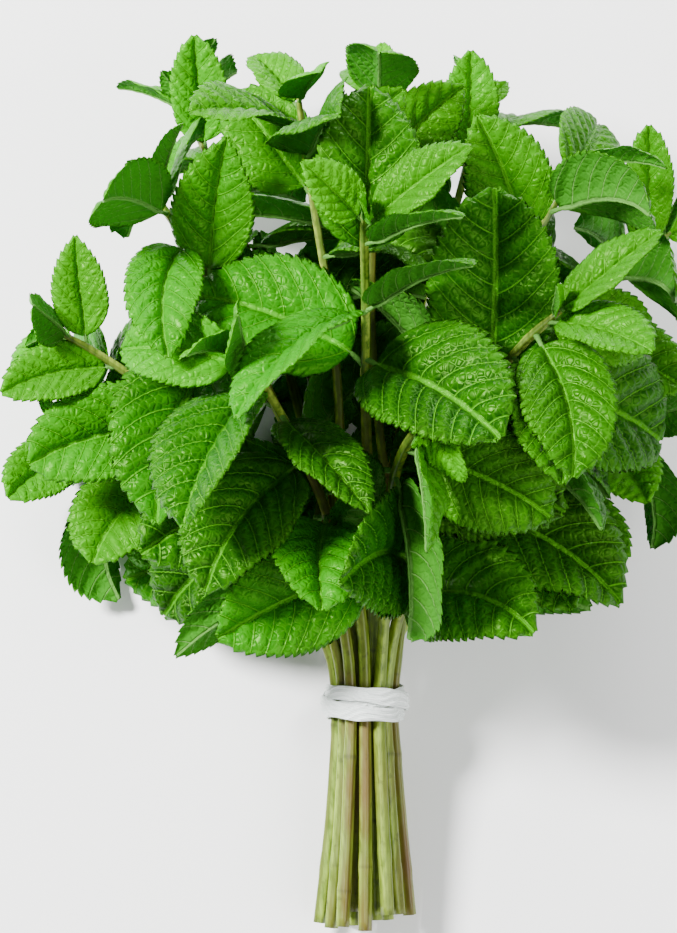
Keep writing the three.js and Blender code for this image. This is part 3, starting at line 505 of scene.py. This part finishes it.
def add_rib(sheet, leaf, midrib, normals, s, look):
    """The stalk, which runs on as the midrib's ridge under the blade."""
    stalk = np.linspace(0, STALK, STALK_ROWS + 1)[:-1]
    shares = np.concatenate([stalk, s[1:-1:2]])
    middles = np.concatenate([through(leaf.shares, leaf.mids, stalk), midrib[1:-1:2]])
    up = np.concatenate([np.repeat(normals[1:2], STALK_ROWS, axis=0), normals[1:-1:2]])
    least, gain, most = RIB_SIZE
    size = min(most, least + leaf.length / gain)
    radius = size * np.interp(shares, [0, STALK, 1], RIB_RADIUS)
    sink = radius * np.interp(shares, [0, STALK, STALK + RIB_SINKS_IN], RIB_SINK)
    middles = middles - up * sink[:, None]
    tangents = unit(np.gradient(middles, axis=0))
    over = unit(up - tangents * (up * tangents).sum(1, keepdims=True))
    angles = np.arange(RIB_SIDES) * 2 * np.pi / RIB_SIDES
    rings = radius[:, None, None] * np.stack([np.cos(angles), RIB_FLAT * np.sin(angles)], -1)[None]
    points, faces = tube(middles, np.cross(over, tangents), over, rings)
    x = (shares - STALK) / (1 - STALK)
    place = np.stack([np.clip(x, 0, 1), 0 * x, 0 * x], -1)
    place = np.concatenate([np.repeat(place, RIB_SIDES, axis=0), place[:1], place[-1:]])
    sheet.add(points, faces, place=place, look=np.array([look[0], look[1], 1.0]))


def add_leaf(sheet, leaf, random, youth_and_glow):
    """One leaf. Its youth is 0 for a full-grown leaf and 1 for one that has just opened; on rim leaves it
    also carries painted light.
    """
    shape = {
        "bow": BOW * random.uniform(*BOWS),
        "wave": WAVE * random.uniform(*WAVES),
        "waves": random.uniform(*WAVE_COUNT),
        "phase": random.uniform(0, 1),
        "blunt": random.uniform(0, 1),
        "widen": random.uniform(*WIDEN),
    }
    look = (tone_and_painted_light_of(leaf, random), youth_and_glow)
    midrib, normals, s = add_blade(sheet, leaf, shape, look)
    add_rib(sheet, leaf, midrib, normals, s, look)


# ---------------------------------------------------------------- stems
def stem_scale(distance):
    foot, top, reach = STEM_TAPER
    return foot + (top - foot) * distance / reach


def square_ring():
    """A rounded square with faces a little hollow, as on a mint stem."""
    angles = np.arange(STEM_SIDES) * 2 * np.pi / STEM_SIDES
    fourfold = np.cos(4 * angles)
    radius = 0.5 * (STEM_HALF + STEM_CORNER) - 0.5 * (STEM_CORNER - STEM_HALF) * fourfold
    hollow, face = FACE_HOLLOW
    radius -= hollow * (fourfold > face)
    return radius[:, None] * np.stack([np.cos(angles), np.sin(angles)], -1)


def node_bump(distance, nodes):
    """How much of a node's swelling a place on the stem has."""
    if not len(nodes):
        return np.zeros_like(distance)
    gaps = np.abs(distance[:, None] - np.asarray(nodes)[None]).min(1)
    return np.exp(-((gaps / NODE_REACH) ** 2))


def add_shoot(sheet, line, start, begin, nodes, slot, spin=0.0, taper_end=False):
    """A stretch of square stem along a line. begin is the line's distance from the foot."""
    steps = np.linalg.norm(np.diff(line, axis=0), axis=1)
    distance = begin + np.concatenate([[0], np.cumsum(steps)])
    across, over = carried(line, start)
    turn = spin + np.linspace(0, STEM_TWIST, len(line))[:, None]
    across, over = across * np.cos(turn) + over * np.sin(turn), over * np.cos(turn) - across * np.sin(turn)
    bump = node_bump(distance, nodes)
    scale = stem_scale(distance) * (1 + NODE_SWELL * bump)
    if taper_end:
        reach, least = TIP_TAPER
        left = (distance[-1] - distance) / reach
        scale = scale * np.clip(least + left, 0, 1) ** 0.5
    rings = scale[:, None, None] * square_ring()[None]
    points, faces = tube(line, across, over, rings)
    place = np.stack([0 * bump, bump, 0 * bump], -1)
    place = np.concatenate([np.repeat(place, STEM_SIDES, axis=0), place[:1] + [0, 0, 1], place[-1:]])
    angles = np.arange(STEM_SIDES) * 2 * np.pi / STEM_SIDES
    # Two opposite faces get painted shade and the other two painted light.
    shaded = 0.5 + 0.5 * np.sign(np.sin(2 * angles + SHADED_FACES))
    look = np.stack([shaded, 0 * angles, 0 * angles], -1)
    look = np.concatenate([np.tile(look, (len(line), 1)), look[:1], look[:1]]) + [0, spin / 2, 0]
    sheet.add(points, faces, slot=slot, place=place, look=look)


def fine_line(stations, step=STEM_STEP):
    """Points a step apart on the smooth line through the stations."""
    steps = np.linalg.norm(np.diff(stations, axis=0), axis=1)
    knots = np.concatenate([[0], np.cumsum(steps)])
    return through(knots, stations, np.linspace(0, knots[-1], max(3, round(knots[-1] / step))))


def crown_line(base, direction, leaves):
    """The crown's axis: a gently bent line from the stem's end through the roots of the crown's leaves."""
    whole = [leaf.root for leaf in leaves if len(leaf.mids) == 1 + len(CAD_SHARES)]
    roots = np.array(whole or [base + direction * CROWN_CORE])
    roots = np.concatenate([roots, [base + direction * CROWN_STRAIGHT]])
    t = np.linalg.norm(roots - base, axis=1)
    bend, *_ = np.linalg.lstsq(np.stack([t, t**2], 1), roots - base, rcond=None)
    at = np.linspace(-CROWN_OVERLAP, CROWN_CORE, CROWN_STATIONS)
    return base + at[:, None] * bend[0] + at[:, None] ** 2 * bend[1]


def nearest(line, point):
    return line[np.linalg.norm(line - point, axis=1).argmin()]


def distance_along(line, point):
    i = np.linalg.norm(line - point, axis=1).argmin()
    return np.linalg.norm(np.diff(line[: i + 1], axis=0), axis=1).sum()


# ---------------------------------------------------------------- materials
class Shader:
    """Short names for building one material's node graph."""

    def __init__(self, name):
        self.material = bpy.data.materials.new(name)
        self.material.use_nodes = True
        self.tree = self.material.node_tree
        self.tree.nodes.clear()

    def node(self, kind, inputs=None, **settings):
        made = self.tree.nodes.new(kind)
        for key, value in settings.items():
            setattr(made, key, value)
        for key, value in (inputs or {}).items():
            self.feed(made.inputs[key], value)
        return made

    def feed(self, socket, value):
        if isinstance(value, bpy.types.NodeSocket):
            self.tree.links.new(value, socket)
        else:
            socket.default_value = value

    def math(self, operation, *values, clamp=False):
        made = self.node("ShaderNodeMath", operation=operation, use_clamp=clamp)
        for socket, value in zip(made.inputs, values):
            self.feed(socket, value)
        return made.outputs[0]

    def times(self, value, share):
        return self.math("MULTIPLY", value, share)

    def spread(self, value, start, end, at_start=0.0, at_end=1.0):
        """Maps start..end smoothly to at_start..at_end."""
        inputs = {"Value": value, "From Min": start, "From Max": end, "To Min": at_start, "To Max": at_end}
        made = self.node("ShaderNodeMapRange", inputs, interpolation_type="SMOOTHSTEP")
        return made.outputs[0]

    def mix(self, share, one, other):
        made = self.node("ShaderNodeMix", data_type="RGBA", blend_type="MIX", clamp_factor=True)
        self.feed(made.inputs[0], share)
        self.feed(made.inputs[6], one)
        self.feed(made.inputs[7], other)
        return made.outputs[2]

    def parts(self, name):
        """The three numbers of a point attribute."""
        attribute = self.node("ShaderNodeAttribute", attribute_name=name)
        split = self.node("ShaderNodeSeparateXYZ", {"Vector": attribute.outputs["Vector"]})
        return split.outputs

    def object_place(self, scale=(1, 1, 1)):
        where = self.node("ShaderNodeTexCoord").outputs["Object"]
        mapped = self.node("ShaderNodeMapping", {"Vector": where, "Scale": scale})
        return mapped.outputs[0]

    def noise(self, where, scale, detail=3.0, rough=0.55):
        inputs = {"Vector": where, "Scale": scale, "Detail": detail, "Roughness": rough}
        return self.node("ShaderNodeTexNoise", inputs).outputs["Fac"]

    def bump(self, height, strength, distance, before=None):
        inputs = {"Height": height, "Strength": strength, "Distance": distance}
        if before is not None:
            inputs["Normal"] = before
        return self.node("ShaderNodeBump", inputs).outputs[0]

    def output(self, surface):
        self.node("ShaderNodeOutputMaterial", {"Surface": surface})
        return self.material


def leaf_material():
    """Mint leaf: pale veins on a green blade, a paler underside and light coming through, with painted
    light and shade in its tone, on its puffed parts and as a painted highlight along its margin.
    """
    s = Shader("mint_leaf")
    along, out, edge = s.parts("place")
    tone_and_light, youth_and_glow, under = s.parts("look")
    where = s.object_place()
    patches = s.noise(where, PATCHES)
    fine = s.noise(where, GRAIN, 4)
    distance = s.math("ABSOLUTE", out)
    side = s.math("SIGN", out)
    sweep, curl = VEIN_SWEEP
    curled = s.times(s.math("POWER", distance, 2), curl)
    ahead = s.math("ADD", s.times(distance, sweep), curled)
    phase = s.times(s.math("SUBTRACT", along, ahead), SIDE_VEINS)
    phase = s.math("ADD", phase, s.times(side, VEIN_STAGGER))
    off_vein = s.math("PINGPONG", phase, 0.5)
    side_vein = s.spread(off_vein, *SIDE_VEIN_LINE)
    midrib = s.spread(distance, *MIDRIB_LINE)
    vein = s.math("MAXIMUM", side_vein, midrib)
    cells = s.node("ShaderNodeTexVoronoi", {"Vector": where, "Scale": CELLS}, feature="DISTANCE_TO_EDGE")
    cells = cells.outputs["Distance"]
    net = s.spread(cells, *NET_LINE)

    # The tone carries painted light and shade from the leaf's place in the bunch, as well as the leaf's own
    # random tone.
    depth = s.math("ADD", tone_and_light, s.times(s.math("SUBTRACT", patches, 0.5), PATCH_SHARE))
    blade = s.mix(s.spread(depth, *MID_TONES), LEAF_DARK, LEAF_MID)
    blade = s.mix(s.spread(depth, *BRIGHT_TONES), blade, LEAF_BRIGHT)
    # Young leaves are yellow-green; on rim leaves the same colour is painted light.
    blade = s.mix(s.times(youth_and_glow, YOUTH_AND_GLOW_SHARE), blade, LEAF_YOUNG_AND_LIT)
    # The puffed blade between the side veins is painted lighter: a painted highlight on the raised parts.
    puff_highlight = s.spread(off_vein, *PUFF)
    blade = s.mix(s.times(puff_highlight, PUFF_HIGHLIGHT_SHARE), blade, s.mix(0.5, blade, LEAF_YOUNG_AND_LIT))
    blade = s.mix(s.times(s.spread(fine, *GRAIN_SPOTS), GRAIN_SHARE), blade, LEAF_DARK)
    blade = s.mix(s.times(net, NET_SHARE), blade, LEAF_VEIN)
    blade = s.mix(s.times(vein, VEIN_SHARE), blade, LEAF_VEIN)
    # A painted highlight along the margin.
    blade = s.mix(s.times(edge, EDGE_HIGHLIGHT_SHARE), blade, LEAF_VEIN)
    below = s.mix(s.times(tone_and_light, UNDER_TONE_SHARE), LEAF_UNDER, LEAF_BRIGHT)
    below = s.mix(s.times(patches, UNDER_PATCH_SHARE), below, LEAF_MID)
    below = s.mix(s.times(vein, UNDER_VEIN_SHARE), below, LEAF_UNDER_VEIN)
    colour = s.mix(under, blade, below)

    sunk = s.times(vein, s.spread(under, 0, 1, -1.0, 1.0))
    height = s.math("ADD", sunk, s.times(s.spread(cells, *CELL_DOME), CELL_HEIGHT))
    normal = s.bump(height, *VEIN_BUMP)
    normal = s.bump(fine, *GRAIN_BUMP, normal)
    rough = s.spread(fine, 0.2, 0.8, *LEAF_ROUGH)
    rough = s.math("ADD", rough, s.times(under, UNDER_ROUGHER))
    inputs = {
        "Base Color": colour,
        "Roughness": rough,
        "Specular IOR Level": LEAF_GLOSS,
        "Specular Tint": LEAF_SHEEN,
        "Normal": normal,
    }
    skin = s.node("ShaderNodeBsdfPrincipled", inputs).outputs[0]
    glow = s.mix(s.spread(vein, 0, 1, *GLOW_SHARES), colour, LEAF_GLOW)
    through_light = s.node("ShaderNodeBsdfTranslucent", {"Color": glow, "Normal": normal}).outputs[0]
    both = s.node("ShaderNodeMixShader", {0: LIGHT_THROUGH, 1: skin, 2: through_light}).outputs[0]
    return s.output(both)


def stem_material(name, base, streak, streak_share):
    """Square mint stem: a green skin with purple-brown streaks, dark nodes and a pale wet cut, and painted
    light on two faces with painted shade, browner, on the other two.
    """
    s = Shader(name)
    _, node, cut = s.parts("place")
    shaded, kind, _ = s.parts("look")
    fibres = s.noise(s.object_place((1, FIBRE_STRETCH, 1)), FIBRES, 4)
    blush = s.noise(s.object_place((1, BLUSH_STRETCH, 1)), BLUSH, 3)
    spots = s.noise(s.object_place(), SPOTS, 3)
    # Pale fibres, strongest on the faces with painted light; the faces with painted shade are painted
    # browner.
    pale = s.times(s.spread(fibres, *PALE_FIBRES), s.spread(shaded, 0, 1, *PALE_FACES))
    colour = s.mix(pale, base, STEM_PALE)
    brown = s.math("ADD", s.spread(blush, *BROWN_BLUSH), s.times(shaded, PAINTED_SHADE_BROWN))
    brown = s.times(brown, s.spread(kind, *BROWN_STEMS))
    colour = s.mix(s.math("MULTIPLY", brown, streak_share, clamp=True), colour, streak)
    colour = s.mix(s.times(s.spread(spots, *DARK_SPOTS), SPOT_SHARE), colour, STEM_DARK)
    colour = s.mix(s.times(s.spread(node, *DARK_NODES), NODE_SHARE), colour, STEM_DARK)
    colour = s.mix(s.spread(cut, 0.1, 0.5), colour, STEM_CUT)
    normal = s.bump(fibres, *FIBRE_BUMP)
    normal = s.bump(spots, *SPOT_BUMP, normal)
    rough = s.spread(fibres, 0.2, 0.8, *STEM_ROUGH)
    inputs = {"Base Color": colour, "Roughness": rough, "Normal": normal, "Specular IOR Level": STEM_GLOSS}
    skin = s.node("ShaderNodeBsdfPrincipled", inputs).outputs[0]
    return s.output(skin)


def band_material():
    """White stretch film in strands: bright, with painted shade between its strands and in its creases."""
    s = Shader("tie_film")
    round_it, height, crease = s.parts("place")
    combined = s.node("ShaderNodeCombineXYZ", {"X": round_it, "Y": height, "Z": 0.0}).outputs[0]
    stretch = {"Vector": combined, "Scale": STRAND_SCALE, "Rotation": (0, 0, STRAND_SLANT)}
    strands = s.noise(s.node("ShaderNodeMapping", stretch).outputs[0], 1.6, 5, 0.6)
    wrinkles = s.noise(s.object_place((1, 0.5, 1)), WRINKLES, 4)
    # Painted shade: grey-green between the strands and in the creases.
    colour = s.mix(s.spread(strands, *STRAND_SHADE), BAND_WHITE, BAND_SHADE)
    colour = s.mix(s.times(crease, CREASE_SHADE_SHARE), colour, BAND_SHADE)
    normal = s.bump(strands, *STRAND_BUMP)
    normal = s.bump(wrinkles, *WRINKLE_BUMP, normal)
    inputs = {
        "Base Color": colour,
        "Roughness": s.spread(wrinkles, 0.25, 0.8, *BAND_ROUGH),
        "Normal": normal,
        "Sheen Weight": BAND_SHEEN,
    }
    skin = s.node("ShaderNodeBsdfPrincipled", inputs).outputs[0]
    return s.output(skin)


def floor_material():
    s = Shader("floor")
    clouds = s.noise(s.object_place(), 2.5)
    colour = s.mix(s.spread(clouds, 0.3, 0.7), FLOOR_PALE, FLOOR_WHITE)
    skin = s.node("ShaderNodeBsdfPrincipled", {"Base Color": colour, "Roughness": FLOOR_ROUGH}).outputs[0]
    return s.output(skin)


LEAF = leaf_material()
STEM = stem_material("mint_stem", STEM_OLIVE, STEM_PURPLE, STEM_STREAKS)
SHOOT = stem_material("mint_shoot", STEM_GREEN, STEM_PURPLE, SHOOT_STREAKS)
BAND = band_material()


# ---------------------------------------------------------------- the sprigs
def tone_and_painted_light_of(leaf, random):
    """Painted light and shade: leaves low and deep in the bunch, and on the right, are painted darker, as
    if in shade, than those on top, on the rim and on the left, as if lit.
    """
    place = (leaf.mids[len(leaf.mids) // 2] - HEAD) / HEAD_RADII
    tone_and_light = TONE + PAINTED_LIGHT_UP * place[2] - PAINTED_SHADE_RIGHT * place[0]
    tone_and_light = tone_and_light + PAINTED_LIGHT_OUT * (np.linalg.norm(place) - TONE_EVEN_AT)
    return float(np.clip(tone_and_light + random.normal(0, TONE_SCATTER), 0, 1))


def youth_and_painted_glow_of(leaf, random):
    """Small leaves near a tip are young and yellow-green. Leaves on the rim, more so on the left, get the
    same yellow-green as painted light, as if lit through from behind.
    """
    place = (leaf.mids[len(leaf.mids) // 2] - HEAD) / HEAD_RADII
    rim = np.clip(RIM_RISE * (np.linalg.norm(place[:2]) - RIM_FROM), 0, 1)
    painted_glow = random.uniform(*RIM_PAINTED_GLOW) * rim * (1 - RIM_LEFT * np.clip(place[0], -1, 1))
    newborn, full = YOUTH_BY_SIZE
    return float(np.clip(max(newborn - leaf.length / full, painted_glow), 0, 1))


def build_sprig(number):
    stem_node = f"stem_{number:02d}"
    random = np.random.default_rng(FIRST_SEED + number)
    stations, faces = read_stem(stem_node)
    line = fine_line(stations)
    total = np.linalg.norm(np.diff(line, axis=0), axis=1).sum()
    crown_node = f"crown_{number:02d}"
    crown = read_leaves(crown_node)
    axis = crown_line(stations[-1], unit(stations[-1] - stations[-2]), crown)

    pair_nodes = [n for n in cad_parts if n.startswith(f"leaf_pair_{number:02d}")]
    pairs = {node: read_leaves(node) for node in sorted(pair_nodes)}
    joints = [distance_along(line, leaf.root) for leaves in pairs.values() for leaf in leaves]
    scars = np.cumsum(random.uniform(*NODE_SPACING, NODE_COUNT)) - FIRST_NODE
    top_clear, pair_clear = NODE_CLEAR
    scars = [d for d in scars if d < total - top_clear and all(abs(d - j) > pair_clear for j in joints)]
    stem = Sheet()
    add_shoot(stem, line, faces[0], 0.0, joints + scars, 0, spin=random.uniform(*STEM_SPIN))
    stem.make(f"sprig_stem_{number:02d}", [STEM], [stem_node], "stem")

    for node, leaves in pairs.items():
        sheet = Sheet()
        for leaf in leaves:
            leaf.finish(nearest(line, leaf.root))
            add_leaf(sheet, leaf, random, GROWN_YOUTH_AND_GLOW * youth_and_painted_glow_of(leaf, random))
        sheet.make(f"grown_{node}", [LEAF], [node], "leaf")

    sheet = Sheet()
    add_shoot(sheet, axis, faces[-1], total, [], 1, taper_end=True)
    for leaf in crown:
        leaf.finish(nearest(axis, leaf.root))
        add_leaf(sheet, leaf, random, youth_and_painted_glow_of(leaf, random))
    sheet.make(f"young_{crown_node}", [LEAF, SHOOT], [crown_node], "young_leaf")


for k in range(1, 1 + sum(name.startswith("stem_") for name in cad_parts)):
    build_sprig(k)


# ---------------------------------------------------------------- the tie
LEAN = math.radians(15)
AXIS = np.array([0, math.cos(LEAN), math.sin(LEAN)])
FRONT = np.array([0, -math.sin(LEAN), math.cos(LEAN)])
RIGHT = np.array([1.0, 0, 0])
band_box = np.array(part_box("tie_band")) / MM
TIE = band_box.mean(0)


def band_sheet():
    """Three turns of pleated film that cross over each other, closed on themselves."""
    steps = BAND_STEPS * BAND_TURNS
    share = 2 * np.pi * np.arange(steps) / steps
    angle, lap = BAND_TURNS * share, BAND_LAPS * share
    radial = np.cos(angle)[:, None] * RIGHT + np.sin(angle)[:, None] * FRONT
    middle, stagger = BAND_RADIUS
    radius = middle + stagger * np.cos(lap)
    height = BAND_CLIMB * np.sin(lap)
    u = np.linspace(-1, 1, 2 * BAND_STRANDS + 1)
    half = BAND_HALF + 0.22 * np.sin(7 * share) + 0.12 * np.sin(19 * share + 1)
    sway = 0.8 * np.sin(5 * share) + 0.55 * np.sin(13 * share + 2)
    swing = 4 * np.sin(3 * share)[:, None]
    wide, fine = PLEAT
    pleat = wide * (1 - 2 * np.abs(np.sin(np.pi * (1.3 * u[None] + 1.4 * sway[:, None]))) ** 0.7)
    pleat = pleat + fine * np.sin(2 * np.pi * (3.3 * u[None] - 1.7 * sway[:, None]) + swing)
    sag = -BAND_SAG * u[None] ** 4
    rows = []
    for face in (1, -1):
        out = radius[:, None] + face * BAND_THICK / 2 + PLEAT_RISE * pleat + sag
        up = height[:, None] + half[:, None] * u[None]
        rows.append(TIE + out[..., None] * radial[:, None] + up[..., None] * AXIS)
    ring = np.concatenate([rows[0], rows[1][:, ::-1]], axis=1)
    count, columns = ring.shape[:2]
    faces = []
    for i in range(count):
        j = (i + 1) % count
        for c in range(columns):
            d = (c + 1) % columns
            faces.append((i * columns + c, j * columns + c, j * columns + d, i * columns + d))
    round_it = np.broadcast_to((share / (2 * np.pi))[:, None] * BAND_TURNS, pleat.shape)
    up_it = np.broadcast_to(u[None] * 0.5, pleat.shape)
    place = np.stack([round_it, up_it, np.clip(-pleat / CREASE_DEPTH, 0, 1)], -1)
    place = np.concatenate([place, place[:, ::-1]], axis=1)
    sheet = Sheet()
    sheet.add(ring.reshape(-1, 3), faces, place=place.reshape(-1, 3))
    return sheet


band_sheet().make("wound_tie", [BAND], ["tie_band"], "band")


# ---------------------------------------------------------------- floor, light and camera
FLOOR_HALF, FLOOR_FLAT, FLOOR_CURVE, FLOOR_TOP = 3.0, 2.4, 0.8, 3.5  # metres
LIGHTS = {  # each one's place, its size in metres and its power in watts
    "key": ((-620, 200, 760), 0.25, 40),
    "fill": ((560, -420, 700), 0.8, 11),
    "rim": ((200, 900, 300), 0.5, 12),
}
WORLD_COLOUR, WORLD_STRENGTH = (0.95, 0.97, 1.0, 1), 0.36
SENSOR = 36
CAMERA_AWAY = 1100.0
VIEW_TALL = 233.3  # what the picture's height takes in, where the bunch is
VIEW_UP, VIEW_LEFT = 58.9, 6.6  # the picture's middle, from the tie


def make_floor():
    """A pale sheet that runs on under the bunch and curves up far behind it."""
    across = np.linspace(-FLOOR_HALF, FLOOR_HALF, 13)
    profile = [(y, 0.0) for y in (-FLOOR_HALF, -1.0, 0.0, 1.0, FLOOR_FLAT)]
    for turn in np.linspace(0.15, math.pi / 2, 10):
        y, z = FLOOR_FLAT + FLOOR_CURVE * math.sin(turn), FLOOR_CURVE - FLOOR_CURVE * math.cos(turn)
        profile.append((y, z))
    profile.append((FLOOR_FLAT + FLOOR_CURVE, FLOOR_TOP))
    points = [(x, y, z) for y, z in profile for x in across]
    mesh = bpy.data.meshes.new("floor")
    mesh.from_pydata(points, [], grid_faces(len(profile), len(across), closed=False))
    mesh.polygons.foreach_set("use_smooth", [True] * len(mesh.polygons))
    mesh.materials.append(floor_material())
    floor = bpy.data.objects.new("floor", mesh)
    bpy.context.scene.collection.objects.link(floor)


def aim(thing, place, target, up):
    """Puts a light or the camera at a place, looking at a target."""
    back = Vector(place - target).normalized()
    right = Vector(up).cross(back).normalized()
    turn = Matrix((right, back.cross(right), back)).transposed().to_4x4()
    thing.matrix_world = Matrix.Translation(Vector(place * MM)) @ turn


def add_light(name, place, size, power):
    lamp = bpy.data.lights.new(name, "AREA")
    lamp.shape = "DISK"
    lamp.size = size
    lamp.energy = power
    thing = bpy.data.objects.new(name, lamp)
    bpy.context.scene.collection.objects.link(thing)
    aim(thing, np.array(place, float), TIE + 60 * AXIS, (0.1, 1, 0))


def set_world():
    world = bpy.data.worlds.new("studio")
    world.use_nodes = True
    background = world.node_tree.nodes["Background"]
    background.inputs["Color"].default_value = WORLD_COLOUR
    background.inputs["Strength"].default_value = WORLD_STRENGTH
    bpy.context.scene.world = world


def set_camera():
    """Looks square at the bunch's axis, as at a bunch held upright, from above the floor."""
    camera = bpy.data.cameras.new("camera")
    camera.sensor_fit = "VERTICAL"
    camera.sensor_height = SENSOR
    camera.lens = SENSOR * CAMERA_AWAY / VIEW_TALL
    camera.clip_end = 20
    thing = bpy.data.objects.new("camera", camera)
    bpy.context.scene.collection.objects.link(thing)
    target = TIE + VIEW_UP * AXIS - VIEW_LEFT * RIGHT
    aim(thing, target + CAMERA_AWAY * FRONT, target, AXIS)
    bpy.context.scene.camera = thing


make_floor()
for name, (place, size, power) in LIGHTS.items():
    add_light(name, place, size, power)
set_world()
set_camera()
